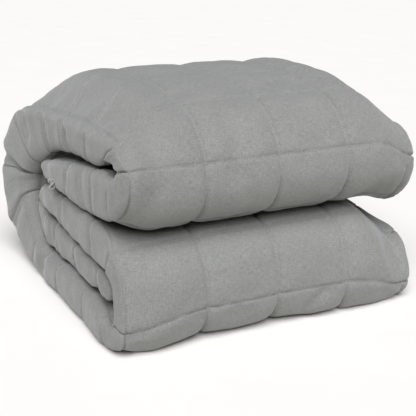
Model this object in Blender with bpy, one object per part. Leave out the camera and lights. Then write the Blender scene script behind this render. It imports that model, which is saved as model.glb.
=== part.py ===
"""Weighted blanket, quilted in squares, folded into a thick bundle of five layers.

Metres, +Z up. The folds run along X. The two front rolls face -Y, one on the other, and the
round spine that joins them is at the back, +Y. The bundle stands on z = 0, its origin under
the middle of its box. The visible end, with the inner hem and its tie loop, faces -X.
"""

import math
from collections import namedtuple

import bmesh
import bpy
import numpy as np
from mathutils.bvhtree import BVHTree

# The quilting
CELL = 0.100  # one square across the bundle
CELLS_ACROSS = 4
CELL_ALONG = 0.0972  # one square along the strip, measured over the crowns
SEAM_DEPTH = 0.0070  # how far a seam lies below the crown of its squares
INNER_SEAM_DEPTH = 0.0045  # the same on the faces that are folded inwards
END_SEAM_SHARE = 0.6  # the seams at the two ends are this much as deep
HALF_WIDTH = CELL * CELLS_ACROSS / 2  # from the middle to the end seam

# The fold, in section: the strip's middle line at each place that it passes, from the inner
# hem round both front rolls to the tucked end. heading is in degrees from +Y towards +Z and
# falls all the way, because every turn goes the same way round. loft is the strip's half
# thickness there, and rim is how far its rounded visible end stands out past the end seam.
Section = namedtuple("Section", "name y z heading loft rim")
SECTIONS = (
    Section("inner hem", 0.1400, 0.1600, 168, 0.0180, 0.012),
    Section("under layer, middle", 0.0200, 0.1745, 178, 0.0262, 0.016),
    Section("under layer, front", -0.1340, 0.1750, 180, 0.0325, 0.011),
    Section("upper roll, nose", -0.1705, 0.2130, 90, 0.0280, 0.006),
    Section("upper roll, slope", -0.1535, 0.2460, 48, 0.0260, 0.008),
    Section("top, front", -0.0760, 0.2595, 7, 0.0415, 0.010),
    Section("top, middle", 0.0200, 0.2570, 0, 0.0500, 0.010),
    Section("top, back", 0.1030, 0.2510, -17, 0.0500, 0.013),
    Section("spine, upper", 0.1820, 0.2095, -46, 0.0510, 0.022),
    Section("spine, middle", 0.2260, 0.1280, -92, 0.0540, 0.034),
    Section("spine, lower", 0.2069, 0.0775, -130, 0.0480, 0.032),
    Section("bottom, back", 0.1680, 0.0460, -155, 0.0370, 0.025),
    Section("bottom, under the fold", 0.1230, 0.0300, -170, 0.0275, 0.023),
    Section("bottom, middle", 0.0300, 0.0262, -180, 0.0262, 0.022),
    Section("bottom, front", -0.1440, 0.0262, -180, 0.0262, 0.018),
    Section("lower roll, foot", -0.1660, 0.0352, -226, 0.0262, 0.009),
    Section("lower roll, nose", -0.1745, 0.0560, -268, 0.0262, 0.005),
    Section("lower roll, front", -0.1690, 0.0910, -285, 0.0262, 0.005),
    Section("lower roll, top", -0.1470, 0.1122, -333, 0.0247, 0.008),
    Section("third layer, front", -0.1000, 0.1168, -361, 0.0226, 0.012),
    Section("third layer, back", 0.0980, 0.1268, -361, 0.0178, 0.012),
    Section("inner back fold", 0.1320, 0.1040, -450, 0.0206, 0.009),
    Section("fourth layer, back", 0.0980, 0.0803, -541, 0.0243, 0.010),
    Section("tucked end", -0.1400, 0.0728, -540, 0.0180, 0.010),
)

# How the weight settles the two ends: a height in the middle, and what it becomes there.
Level = namedtuple("Level", "middle left right")
LEVELS = (
    Level(0.000, 0.000, 0.000),
    Level(0.050, 0.044, 0.038),
    Level(0.100, 0.100, 0.080),
    Level(0.150, 0.157, 0.124),
    Level(0.210, 0.213, 0.186),
    Level(0.232, 0.233, 0.209),
    Level(0.265, 0.247, 0.243),
    Level(0.320, 0.266, 0.292),
)

# How the cloth has slipped along the strip: squares counted from the seam along the front of
# the upper roll, and how far it has moved on there at the visible end, the middle and the far end.
Slip = namedtuple("Slip", "square visible middle far")
SLIPS = (
    Slip(-4, 0.030, 0.000, 0.000),
    Slip(-3, 0.050, 0.000, 0.000),
    Slip(-2, 0.040, 0.000, 0.000),
    Slip(-1, -0.002, 0.000, 0.000),
    Slip(0, 0.002, 0.000, 0.000),
    Slip(1, -0.028, 0.000, 0.000),
    Slip(2, -0.053, 0.000, 0.000),
    Slip(3, -0.050, 0.000, 0.000),
    Slip(4, -0.050, 0.000, 0.000),
    Slip(5, -0.020, 0.000, 0.000),
    Slip(6, -0.002, 0.000, 0.000),
    Slip(7, 0.000, 0.000, 0.000),
    Slip(8, 0.008, 0.000, 0.000),
    Slip(9, 0.032, 0.000, 0.000),
    Slip(10, 0.038, 0.000, 0.000),
    Slip(11, 0.018, 0.000, 0.000),
    Slip(12, -0.006, 0.000, -0.010),
    Slip(13, -0.004, 0.000, 0.000),
    Slip(14, -0.032, 0.000, 0.000),
    Slip(15, -0.012, 0.000, 0.000),
    Slip(16, 0.018, 0.000, 0.000),
    Slip(17, 0.050, 0.000, 0.000),
    Slip(18, 0.050, 0.000, 0.000),
    Slip(19, 0.038, 0.000, 0.000),
    Slip(20, 0.010, 0.000, 0.000),
)

# Where the visible end seam stands out past its straight line, and how far.
Reach = namedtuple("Reach", "square out")
REACHES = (Reach(10.5, 0.0), Reach(11.3, 0.007), Reach(12.9, 0.007), Reach(13.7, 0.0))

# Where a square stands fuller or flatter than its neighbours: the place in squares and metres,
# how far it reaches in each, and its height in the middle.
Bulge = namedtuple("Bulge", "name square x squares_wide wide height")
OUTER_BULGES = (
    Bulge("visible corner at the first seam", 0.0, -0.205, 0.8, 0.050, 0.012),
    Bulge("visible corner of the upper roll", 1.0, -0.205, 0.8, 0.055, 0.012),
    Bulge("visible end of the top", 3.7, -0.210, 1.9, 0.055, -0.025),
    Bulge("visible end under the upper roll", -1.3, -0.215, 1.2, 0.060, -0.011),
    Bulge("far side of the top", 2.4, 0.150, 1.5, 0.070, 0.006),
    Bulge("far end of the top", 1.3, 0.220, 1.2, 0.070, -0.029),
    Bulge("far end under the upper roll", -0.65, 0.210, 1.0, 0.080, -0.009),
    Bulge("far end above the lower roll", 13.0, 0.215, 1.3, 0.090, -0.025),
    Bulge("far foot", 11.6, 0.140, 1.0, 0.130, 0.010),
    Bulge("visible foot", 11.6, -0.170, 0.8, 0.070, 0.010),
    Bulge("under layer, lower face", -3.2, -0.220, 1.6, 0.060, 0.003),
    Bulge("third layer, upper face", 14.3, -0.220, 1.6, 0.060, 0.012),
    Bulge("fourth layer, lower face", 19.2, -0.220, 2.0, 0.060, -0.010),
)
INNER_BULGES = (
    Bulge("underside of the top, front", 1.6, -0.220, 1.5, 0.070, 0.004),
    Bulge("underside of the top, back", 4.6, -0.220, 1.7, 0.080, 0.014),
    Bulge("inside of the upper roll", 0.25, -0.220, 1.2, 0.065, -0.010),
    Bulge("upper face of the under layer", -1.4, -0.220, 1.4, 0.070, 0.012),
    Bulge("upper face of the hem", -4.0, -0.220, 1.7, 0.070, -0.013),
    Bulge("inside of the spine", 5.7, 0.000, 2.4, 0.600, 0.010),
    Bulge("inside of the lower roll", 12.2, -0.220, 1.6, 0.070, -0.034),
    Bulge("lower face of the third layer", 15.0, -0.220, 1.7, 0.060, 0.003),
    Bulge("upper face of the fourth layer", 19.2, -0.220, 1.7, 0.060, 0.003),
    Bulge("upper face of the bottom", 9.6, -0.220, 2.2, 0.060, 0.011),
)

# Where the inner cloth is drawn aside at the visible end, and by how much in x, y and z.
Drawn = namedtuple("Drawn", "name square x squares_wide wide by")
DRAWN = (
    Drawn("inner fold of the upper roll", -0.2, -0.215, 1.8, 0.075, (0, -0.024, 0.010)),
    Drawn("upper face of the under layer", -2.2, -0.215, 1.4, 0.070, (0, 0, 0.005)),
    Drawn("inside of the spine", 6.4, -0.215, 2.2, 0.090, (0.008, 0, 0.012)),
)
# How deep the seams are along the strip, as a share: shallow where the cloth is drawn tight.
Quilting = namedtuple("Quilting", "square share")
QUILTING = (
    Quilting(-2.2, 0.9),
    Quilting(-0.9, 1.0),
    Quilting(-0.3, 0.6),
    Quilting(0.6, 0.5),
    Quilting(1.2, 0.35),
    Quilting(3.2, 0.3),
    Quilting(4.4, 0.7),
    Quilting(10.5, 1.2),
    Quilting(11.2, 1.3),
    Quilting(11.8, 0.6),
    Quilting(12.6, 0.5),
    Quilting(13.3, 0.5),
    Quilting(14.2, 0.9),
)

SLIP_FROM = 0.100  # the cloth slips past this far from the middle, and most at the end

FIRST_SEAM_HEADING = 72  # where that seam lies: the upper roll's heading there

MIDDLE_X = -0.0078  # the squares' middle lies this far off the middle of the box
MIDDLE_Y = 0.0360  # and the section is drawn this far off it
SETTLE = 0.0030  # the weight flattens the lowest crowns by this much
FOOT_DRAW = 0.004  # the lower roll's visible corner is drawn back by this much
FAR_TAPER = 0.26  # how much less the far end's last squares stand out
FAR_TAPER_FROM = 0.11  # the taper begins this far from the middle
RIM_FULLNESS = 0.38  # 1 rounds the visible end as half an ellipse, and less makes it fuller
FAR_RIM_FULLNESS = 0.6  # the same at the far end
FAR_RIM = 0.018  # the far end stands out this far past its end seam

STEP = 0.001  # spacing of the samples along the strip's middle line
SMOOTHING = 25  # samples over which one section blends into the next
STEEPEST_ROW = math.radians(24)  # most that the strip turns between two rows of the mesh

# Where the mesh has its lines: parts of a square, and parts of a rounded edge.
ACROSS_SQUARE = (0.0, 0.20, 0.50, 0.80)
ALONG_SQUARE = (0.0, 0.14, 0.38, 0.62, 0.86)
HIDDEN_SQUARE = (0.0, 0.20, 0.50, 0.80)
OPEN_FROM = -1  # the squares that are not folded inwards run from here
OPEN_TO = 13
RIM_ANGLES = (30, 60, 84)
HEM_ANGLES = (32, 62, 84)

# The tie loop: a narrow tape cinched into a figure of eight
TIE_HEIGHT = 0.0130
TIE_WIDTH = 0.0085
TIE_THICKNESS = 0.0022
TIE_FROM_HEM = 0.070  # its root's distance from the inner hem
TIE_LEAN = -78  # and how far round the rounded end it is sewn, in degrees
TIE_POINTS = 28
TIE_GAP = 0.0003


def unit(degrees):
    """The direction at this angle in the section, as (y, z)."""
    return np.array([math.cos(math.radians(degrees)), math.sin(math.radians(degrees))])


def arc_between(here, there, count):
    """The middle line between two sections, as a cubic that comes close to a circle's arc."""
    t = np.linspace(0, 1, count)[:, None]
    start, end = np.array([here.y, here.z]), np.array([there.y, there.z])
    turn = math.radians(here.heading - there.heading)
    reach = np.linalg.norm(end - start) / math.cos(turn / 4) ** 2
    return (
        (2 * t**3 - 3 * t**2 + 1) * start
        + (t**3 - 2 * t**2 + t) * reach * unit(here.heading)
        + (3 * t**2 - 2 * t**3) * end
        + (t**3 - t**2) * reach * unit(there.heading)
    )


def blended(values):
    """Evenly spaced values with their corners taken off."""
    kernel = np.hanning(SMOOTHING + 2)[1:-1]
    kernel /= kernel.sum()
    ends = SMOOTHING // 2
    inner = np.convolve(values, kernel, "valid")
    return np.concatenate([values[:ends], inner, values[-ends:]])


def arc_length(y, z):
    return np.concatenate([[0], np.cumsum(np.hypot(np.diff(y), np.diff(z)))])


def middle_line(count=61):
    """Samples of the folded strip's middle line: y, z, half thickness and rim, a STEP apart."""
    pairs = list(zip(SECTIONS, SECTIONS[1:]))
    share = np.linspace(0, 1, count)
    places = np.concatenate([arc_between(here, there, count)[:-1] for here, there in pairs])
    lofts = np.concatenate([np.interp(share, (0, 1), (a.loft, b.loft))[:-1] for a, b in pairs])
    rims = np.concatenate([np.interp(share, (0, 1), (a.rim, b.rim))[:-1] for a, b in pairs])
    along = arc_length(places[:, 0], places[:, 1])
    samples = np.linspace(0, along[-1], int(round(along[-1] / STEP)) + 1)
    y, z = (np.interp(samples, along, column) for column in places.T)
    lofts, rims = (blended(np.interp(samples, along, column)) for column in (lofts, rims))
    return samples, y, z, lofts, rims


class Strip:
    """The folded strip's section, read at any distance along its middle line."""

    def __init__(self):
        self.along, self.y, self.z, self.loft, self.rim = middle_line()
        slope = np.gradient(self.y), np.gradient(self.z)
        size = np.hypot(*slope)
        self.out_y, self.out_z = -slope[1] / size, slope[0] / size
        self.heading = np.unwrap(np.arctan2(slope[1], slope[0]))
        self.length = self.along[-1]
        self.outer = arc_length(self.y + self.out_y * self.loft, self.z + self.out_z * self.loft)
        # The seams are counted from the one along the front of the upper roll.
        self.first_seam = np.interp(math.radians(-FIRST_SEAM_HEADING), -self.heading, self.outer)

    def read(self, values, distance):
        return np.interp(distance, self.along, values)

    def squares(self, along):
        """How many squares of the outer face lie between the first seam and here."""
        return (self.read(self.outer, along) - self.first_seam) / CELL_ALONG


def row_places(strip):
    """Distances along the strip of the mesh's rows: seams, squares, tight turns and the hems."""
    squares = strip.squares(strip.along)
    parts = [
        square + part
        for square in range(math.floor(squares[0]), math.ceil(squares[-1]))
        for part in (ALONG_SQUARE if OPEN_FROM <= square < OPEN_TO else HIDDEN_SQUARE)
    ]
    rows = list(np.interp([p for p in parts if squares[0] < p < squares[-1]], squares, strip.along))
    for end, way in ((0, 1), (strip.length, -1)):
        loft = strip.read(strip.loft, end)
        rows = [row for row in rows if abs(row - end) > 1.3 * loft]
        rounding = [1 - math.sin(math.radians(angle)) for angle in (0, *HEM_ANGLES, 90)]
        rows += [end + way * loft * part for part in rounding]
    rows.sort()
    filled = [rows[0]]
    for row in rows[1:]:
        turned = abs(strip.read(strip.heading, row) - strip.read(strip.heading, filled[-1]))
        pieces = max(1, math.ceil(turned / STEEPEST_ROW))
        filled += list(np.linspace(filled[-1], row, pieces + 1)[1:])
    return np.array(filled)


def column_places():
    """The mesh's columns: x at the seams and squares, and the angle of each round the rims."""
    squares = [
        -HALF_WIDTH + (square + part) * CELL
        for square in range(CELLS_ACROSS)
        for part in ACROSS_SQUARE
    ]
    left, right = [-HALF_WIDTH] * len(RIM_ANGLES), [HALF_WIDTH] * (len(RIM_ANGLES) + 1)
    angle = [-a for a in reversed(RIM_ANGLES)] + [0] * (len(squares) + 1) + list(RIM_ANGLES)
    return np.array(left + squares + right), np.radians(angle)


def arch(parts):
    """0 at a seam, 1 in the middle of a square, steep beside the seam."""
    return np.sqrt(np.abs(np.sin(np.pi * parts)))


def across_squares(x):
    """The squares' crowns across the strip, with shallower seams at the two ends."""
    crown = arch((x + HALF_WIDTH) / CELL)
    return np.where(np.abs(x) > HALF_WIDTH - CELL / 2, np.maximum(crown, 1 - END_SEAM_SHARE), crown)


def hem_rounding(strip, along):
    """How full the strip is near its two hems, 1 away from them."""
    full = np.ones_like(along)
    for end in (0, strip.length):
        part = np.clip(1 - np.abs(along - end) / strip.read(strip.loft, end), 0, 0.985)
        full *= np.sqrt(1 - part**2)
    return full


def smooth_step(value, low, high):
    t = np.clip((value - low) / (high - low), 0, 1)
    return t * t * (3 - 2 * t)


def slipped(strip, along, x):
    """Distances along the strip once the cloth has slipped."""
    fine = np.arange(SLIPS[0].square - 1, SLIPS[-1].square + 1, 0.01)
    squares, *moved = zip(*SLIPS)
    moves = [blended(blended(np.interp(fine, squares, column))) for column in moved]
    visible, middle, far = (np.interp(strip.squares(along), fine, column) for column in moves)
    visible_end = smooth_step(-x, SLIP_FROM, HALF_WIDTH + 0.01)
    far_end = smooth_step(x, SLIP_FROM, HALF_WIDTH + 0.01)
    return along + middle + visible_end * (visible - middle) + far_end * (far - middle)


def settled(x, y, z):
    """The bundle's own weight: flat underneath, sunk at its ends, its foot drawn back."""
    fine = np.arange(0, LEVELS[-1].middle, STEP)
    middle, left, right = zip(*LEVELS)
    for side, heights in ((-1, left), (1, right)):
        sunk = blended(np.interp(fine, middle, heights))
        share = smooth_step(side * x, 0.70 * HALF_WIDTH, HALF_WIDTH + 0.02)
        z = z + share * (np.interp(z, fine, sunk) - z)
    corner = smooth_step(-x, 0.5 * HALF_WIDTH, HALF_WIDTH + 0.03)
    low = smooth_step(-y, 0.05, 0.19) * (1 - smooth_step(z, 0.03, 0.14))
    y = y + FOOT_DRAW * corner * low
    z = np.maximum(z - SETTLE, 0)
    return x - MIDDLE_X, y - MIDDLE_Y, z


def share_of(spot, squares, x):
    """1 at the middle of a spot on the cloth, falling softly to 0 at its edge."""
    off = np.hypot((squares - spot.square) / spot.squares_wide, (x - spot.x) / spot.wide)
    return (1 + np.cos(np.pi * np.minimum(off, 1))) / 2


def bulged(bulges, squares, x):
    """How much fuller the cloth stands here than the rest of the quilting."""
    height = np.zeros_like(x)
    for bulge in bulges:
        height += bulge.height * share_of(bulge, squares, x)
    return height


def folded(strip, x, angle, along, outside):
    """The place of each point of the strip: across it, along it and on its outer or inner face."""
    place = slipped(strip, along, x)
    loft = strip.read(strip.loft, place)
    full = hem_rounding(strip, along)
    crown = arch(strip.squares(along))
    depth = np.where(outside, SEAM_DEPTH, INNER_SEAM_DEPTH) * np.clip(loft / 0.026, 0.55, 1)
    depth = depth * np.interp(strip.squares(along), *zip(*QUILTING))
    raised = loft - depth * (1 - np.sqrt(across_squares(x) * crown))
    lifted = smooth_step(strip.read(strip.z, place), 0.03, 0.10)
    taper = FAR_TAPER * lifted * smooth_step(x, FAR_TAPER_FROM, HALF_WIDTH + 0.01)
    squares = strip.squares(along)
    across = x
    outer = raised * (1 - taper) + bulged(OUTER_BULGES, squares, x)
    inner = raised + bulged(INNER_BULGES, squares, x)
    fullness = np.where(angle < 0, RIM_FULLNESS, FAR_RIM_FULLNESS)
    out = np.where(outside, outer, -inner) * full * np.cos(angle) ** fullness
    rim = np.where(angle < 0, strip.read(strip.rim, place), FAR_RIM)
    reach = smooth_step(-x, 0.5 * HALF_WIDTH, HALF_WIDTH) * np.interp(squares, *zip(*REACHES))
    x = x - reach + rim * np.sin(angle) * np.sqrt(full)
    past_its_end = np.maximum(place - strip.length, 0)
    y = strip.read(strip.y, place) - past_its_end + out * strip.read(strip.out_y, place)
    z = strip.read(strip.z, place) + out * strip.read(strip.out_z, place)
    drawn = sum(
        np.outer(spot.by, np.where(outside, 0, share_of(spot, squares, across))) for spot in DRAWN
    )
    return settled(x + drawn[0], y + drawn[1], z + drawn[2])


def slab(columns, rows):
    """A flat closed slab of two grids, one on the other, with its corners' grid numbers."""
    mesh = bmesh.new()
    bmesh.ops.create_grid(mesh, x_segments=columns - 1, y_segments=rows - 1, size=1)
    bmesh.ops.solidify(mesh, geom=mesh.faces[:], thickness=1)
    bmesh.ops.recalc_face_normals(mesh, faces=mesh.faces[:])
    place = np.array([corner.co for corner in mesh.verts])
    column = np.rint((place[:, 0] + 1) / 2 * (columns - 1)).astype(int)
    row = np.rint((place[:, 1] + 1) / 2 * (rows - 1)).astype(int)
    return mesh, column, row, place[:, 2] > place[:, 2].mean()


def material(name, colour, roughness, sheen):
    made = bpy.data.materials.new(name)
    made.use_nodes = True
    shader = made.node_tree.nodes["Principled BSDF"]
    shader.inputs["Base Color"].default_value = (*colour, 1)
    shader.inputs["Roughness"].default_value = roughness
    shader.inputs["Metallic"].default_value = 0
    shader.inputs["Sheen Weight"].default_value = sheen
    return made


def blanket(collection, strip):
    """The quilted blanket, one solid, from a flat slab carried round the folds."""
    rows = row_places(strip)
    column_x, column_angle = column_places()
    mesh, column, row, upper = slab(len(column_x), len(rows))
    x, y, z = folded(strip, column_x[column], column_angle[column], rows[row], upper)
    for corner, place in zip(mesh.verts, np.stack([x, y, z], 1)):
        corner.co = place
    bmesh.ops.recalc_face_normals(mesh, faces=mesh.faces[:])
    data = bpy.data.meshes.new("blanket")
    mesh.to_mesh(data)
    mesh.free()
    data.shade_smooth()
    made = bpy.data.objects.new("blanket", data)
    data.materials.append(material("grey woven cotton", (0.33, 0.33, 0.31), 0.9, 0.2))
    collection.objects.link(made)
    return made


def tie_places():
    """The tape's middle line as (outwards, upwards, sideways), crossing itself a little apart."""
    turn = np.linspace(0, 2 * math.pi, TIE_POINTS, endpoint=False)
    outwards = TIE_WIDTH / 2 * np.sin(2 * turn) * 0.9
    upwards = TIE_HEIGHT / 2 * np.cos(turn)
    sideways = 0.75 * TIE_THICKNESS * np.sin(turn)
    return np.stack([outwards, upwards, sideways], 1)


def tie_loop(collection, strip, cloth):
    """The tie loop, standing out of the left end beside the inner hem, a hair off the cloth."""
    spline_data = bpy.data.curves.new("tie_loop", "CURVE")
    spline_data.dimensions = "3D"
    spline_data.bevel_depth = TIE_THICKNESS / 2
    spline_data.bevel_resolution = 2
    spline = spline_data.splines.new("POLY")
    spline.points.add(TIE_POINTS - 1)
    spline.use_cyclic_u = True
    x, y, z = folded(
        strip,
        np.array([-HALF_WIDTH]),
        np.radians([TIE_LEAN]),
        np.array([TIE_FROM_HEM]),
        np.array([True]),
    )
    root = np.array([x[0], y[0], z[0]])
    local = tie_places()
    places = root + np.stack([-local[:, 0], local[:, 2], local[:, 1]], 1)
    tree = BVHTree.FromPolygons(
        [corner.co for corner in cloth.data.vertices],
        [face.vertices for face in cloth.data.polygons],
    )
    clear = TIE_THICKNESS / 2 + TIE_GAP
    while min(outside_by(tree, place) for place in places) < clear:
        places[:, 0] -= 0.0001
    for point, place in zip(spline.points, places):
        point.co = (*place, 1)
    made = bpy.data.objects.new("tie_loop", spline_data)
    spline_data.materials.append(material("grey cotton tape", (0.36, 0.36, 0.34), 0.85, 0.1))
    collection.objects.link(made)
    return made


def outside_by(tree, place):
    """How far a point is outside the cloth, negative inside it."""
    near, normal, _, distance = tree.find_nearest(tuple(place))
    facing = sum((p - n) * m for p, n, m in zip(place, near, normal))
    return math.copysign(distance, facing)


def main():
    for old in list(bpy.data.objects):
        bpy.data.objects.remove(old)
    collection = bpy.data.collections.new("weighted_blanket")
    bpy.context.scene.collection.children.link(collection)
    strip = Strip()
    cloth = blanket(collection, strip)
    tie_loop(collection, strip, cloth)


main()
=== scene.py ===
"""A weighted blanket, quilted in squares, filled, and folded into a thick bundle.

Run it as a script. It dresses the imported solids: one fine quilted cloth in place of the solid
blanket, the stitches along its seams, and a woven tape in place of the tie loop.
"""

import math
from collections import namedtuple

import bmesh
import bpy
import numpy as np
from bpy.props import FloatProperty, FloatVectorProperty, IntProperty, PointerProperty
from mathutils import Matrix, Vector


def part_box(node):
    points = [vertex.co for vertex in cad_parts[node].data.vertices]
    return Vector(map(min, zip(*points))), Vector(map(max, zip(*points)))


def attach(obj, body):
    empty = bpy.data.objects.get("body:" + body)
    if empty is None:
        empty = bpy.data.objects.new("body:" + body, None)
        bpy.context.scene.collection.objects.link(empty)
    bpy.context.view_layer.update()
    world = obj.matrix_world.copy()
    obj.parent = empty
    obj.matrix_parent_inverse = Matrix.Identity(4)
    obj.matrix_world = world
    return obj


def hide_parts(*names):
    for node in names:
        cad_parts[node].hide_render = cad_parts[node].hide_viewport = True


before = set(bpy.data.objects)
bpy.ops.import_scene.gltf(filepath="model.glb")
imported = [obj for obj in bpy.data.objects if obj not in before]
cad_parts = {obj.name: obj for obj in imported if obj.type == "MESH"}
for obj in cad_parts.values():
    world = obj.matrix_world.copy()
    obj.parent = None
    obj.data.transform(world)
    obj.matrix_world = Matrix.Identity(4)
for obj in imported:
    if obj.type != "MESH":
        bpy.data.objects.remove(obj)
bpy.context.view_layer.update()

bl_info = {
    "name": "Folded weighted blanket",
    "version": (1, 0, 0),
    "blender": (4, 5, 0),
    "location": "View3D > Sidebar > Blanket",
    "description": "Makes a folded, quilted weighted blanket around its packed solids",
    "category": "Object",
}

# ------------------------ the fold, as the solids have it

CELL = 0.100  # a square's side across the strip
CELLS_ACROSS = 4
CELL_ALONG = 0.0972  # and along it, on the outer face
HALF_WIDTH = CELL * CELLS_ACROSS / 2
INNER_SEAM_DEPTH = 0.0045  # how far a seam of the inner face lies below its crowns
END_SEAM_SHARE = 0.6  # how deep the two end seams are, as a share of the others
FULL_LOFT = 0.026  # where the strip has less half thickness, its seams are shallower
SHALLOWEST = 0.55

# The strip's middle line in section. heading is in degrees from +Y towards +Z, loft the half
# thickness there, and rim how far the rounded visible end stands out past its end seam.
Section = namedtuple("Section", "name y z heading loft rim")
SECTIONS = (
    Section("inner hem", 0.14, 0.16, 168, 0.018, 0.012),
    Section("under layer, middle", 0.02, 0.1745, 178, 0.0262, 0.016),
    Section("under layer, front", -0.134, 0.175, 180, 0.0325, 0.011),
    Section("upper roll, nose", -0.1705, 0.213, 90, 0.028, 0.006),
    Section("upper roll, slope", -0.1535, 0.246, 48, 0.026, 0.008),
    Section("top, front", -0.076, 0.2595, 7, 0.0415, 0.01),
    Section("top, middle", 0.02, 0.257, 0, 0.05, 0.01),
    Section("top, back", 0.103, 0.251, -17, 0.05, 0.013),
    Section("spine, upper", 0.182, 0.2095, -46, 0.051, 0.022),
    Section("spine, middle", 0.226, 0.128, -92, 0.054, 0.034),
    Section("spine, lower", 0.2069, 0.0775, -130, 0.048, 0.032),
    Section("bottom, back", 0.168, 0.046, -155, 0.037, 0.025),
    Section("bottom, under the fold", 0.123, 0.03, -170, 0.0275, 0.023),
    Section("bottom, middle", 0.03, 0.0262, -180, 0.0262, 0.022),
    Section("bottom, front", -0.144, 0.0262, -180, 0.0262, 0.018),
    Section("lower roll, foot", -0.166, 0.0352, -226, 0.0262, 0.009),
    Section("lower roll, nose", -0.1745, 0.056, -268, 0.0262, 0.005),
    Section("lower roll, front", -0.169, 0.091, -285, 0.0262, 0.005),
    Section("lower roll, top", -0.147, 0.1122, -333, 0.0247, 0.008),
    Section("third layer, front", -0.1, 0.1168, -361, 0.0226, 0.012),
    Section("third layer, back", 0.098, 0.1268, -361, 0.0178, 0.012),
    Section("inner back fold", 0.132, 0.104, -450, 0.0206, 0.009),
    Section("fourth layer, back", 0.098, 0.0803, -541, 0.0243, 0.01),
    Section("tucked end", -0.14, 0.0728, -540, 0.018, 0.01),
)

# How the bundle sinks at its two ends: a height in its middle, and where that comes at each end.
Level = namedtuple("Level", "middle left right")
LEVELS = (
    Level(0.0, 0.0, 0.0),
    Level(0.05, 0.044, 0.038),
    Level(0.1, 0.1, 0.08),
    Level(0.15, 0.157, 0.124),
    Level(0.21, 0.213, 0.186),
    Level(0.232, 0.233, 0.209),
    Level(0.265, 0.247, 0.243),
    Level(0.32, 0.266, 0.292),
)

# How far the cloth has slipped along the strip: at its visible end and its far end.
Slip = namedtuple("Slip", "square visible far", defaults=(0.0,))
SLIPS = (
    Slip(-4, 0.03),
    Slip(-3, 0.05),
    Slip(-2, 0.04),
    Slip(-1, -0.002),
    Slip(0, 0.002),
    Slip(1, -0.028),
    Slip(2, -0.053),
    Slip(3, -0.05),
    Slip(4, -0.05),
    Slip(5, -0.02),
    Slip(6, -0.002),
    Slip(7, 0.0),
    Slip(8, 0.008),
    Slip(9, 0.032),
    Slip(10, 0.038),
    Slip(11, 0.018),
    Slip(12, -0.006, -0.01),
    Slip(13, -0.004),
    Slip(14, -0.032),
    Slip(15, -0.012),
    Slip(16, 0.018),
    Slip(17, 0.05),
    Slip(18, 0.05),
    Slip(19, 0.038),
    Slip(20, 0.01),
)
SLIP_STEP = 0.01  # spacing of the samples that blend one slip into the next, in squares
# How far the visible end seam stands out from the straight, along the strip.
Reach = namedtuple("Reach", "square out")
REACHES = (Reach(10.5, 0.0), Reach(11.3, 0.007), Reach(12.9, 0.007), Reach(13.7, 0.0))

# Where the cloth stands fuller or flatter than its neighbours: the place in squares and metres,
# how far it reaches in each, and the height it adds.
Bulge = namedtuple("Bulge", "name square x squares_wide wide height")
OUTER_BULGES = (
    Bulge("visible corner at the first seam", 0.0, -0.205, 0.8, 0.05, 0.012),
    Bulge("visible corner of the upper roll", 1.0, -0.205, 0.8, 0.055, 0.012),
    Bulge("visible end of the top", 3.7, -0.21, 1.9, 0.055, -0.025),
    Bulge("visible end under the upper roll", -1.3, -0.215, 1.2, 0.06, -0.011),
    Bulge("far side of the top", 2.4, 0.15, 1.5, 0.07, 0.006),
    Bulge("far end of the top", 1.3, 0.22, 1.2, 0.07, -0.029),
    Bulge("far end under the upper roll", -0.65, 0.21, 1.0, 0.08, -0.009),
    Bulge("far end above the lower roll", 13.0, 0.215, 1.3, 0.09, -0.025),
    Bulge("far foot", 11.6, 0.14, 1.0, 0.13, 0.01),
    Bulge("visible foot", 11.6, -0.17, 0.8, 0.07, 0.01),
    Bulge("under layer, lower face", -3.2, -0.22, 1.6, 0.06, 0.003),
    Bulge("third layer, upper face", 14.3, -0.22, 1.6, 0.06, 0.012),
    Bulge("fourth layer, lower face", 19.2, -0.22, 2.0, 0.06, -0.01),
)
INNER_BULGES = (
    Bulge("underside of the top, front", 1.5, -0.22, 1.5, 0.07, 0.008),
    Bulge("underside of the top, back", 4.4, -0.22, 1.7, 0.08, 0.019),
    Bulge("inside of the upper roll", 0.25, -0.22, 1.2, 0.065, -0.01),
    Bulge("upper face of the under layer", -1.4, -0.22, 1.4, 0.07, 0.012),
    Bulge("upper face of the hem", -4.0, -0.22, 1.5, 0.07, -0.01),
    Bulge("inside of the spine", 5.7, 0.0, 2.4, 0.6, 0.01),
    Bulge("inside of the lower roll", 12.2, -0.22, 1.6, 0.07, -0.034),
    Bulge("lower face of the third layer", 15.0, -0.22, 1.7, 0.06, 0.003),
    Bulge("upper face of the fourth layer", 19.2, -0.22, 1.7, 0.06, 0.003),
    Bulge("upper face of the bottom", 9.6, -0.22, 2.2, 0.06, 0.011),
)
# Where the inner cloth is drawn aside at the visible end, and by how much in x, y and z.
Drawn = namedtuple("Drawn", "name square x squares_wide wide by")
DRAWN = (
    Drawn("inner fold of the upper roll", -0.2, -0.215, 1.8, 0.075, (0, -0.024, 0.01)),
    Drawn("upper face of the under layer", -2.2, -0.215, 1.4, 0.07, (0, 0, 0.005)),
    Drawn("inside of the spine", 6.4, -0.215, 2.2, 0.09, (0.008, 0, 0.012)),
)
# How deep the seams are along the strip, as a share: those along the rolls, which the folding
# draws tight, and those round them.
Quilting = namedtuple("Quilting", "square along_rolls round_rolls")
QUILTING = (
    Quilting(-2.2, 0.65, 0.9),
    Quilting(-0.9, 0.7, 1.0),
    Quilting(-0.3, 0.42, 1.0),
    Quilting(0.6, 0.35, 1.0),
    Quilting(1.2, 0.25, 0.85),
    Quilting(3.2, 0.22, 0.5),
    Quilting(4.4, 0.5, 0.7),
    Quilting(10.5, 0.85, 1.2),
    Quilting(11.2, 0.9, 1.3),
    Quilting(11.8, 0.45, 1.0),
    Quilting(12.6, 0.35, 1.0),
    Quilting(13.3, 0.35, 1.0),
    Quilting(14.2, 0.65, 0.9),
)

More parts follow.
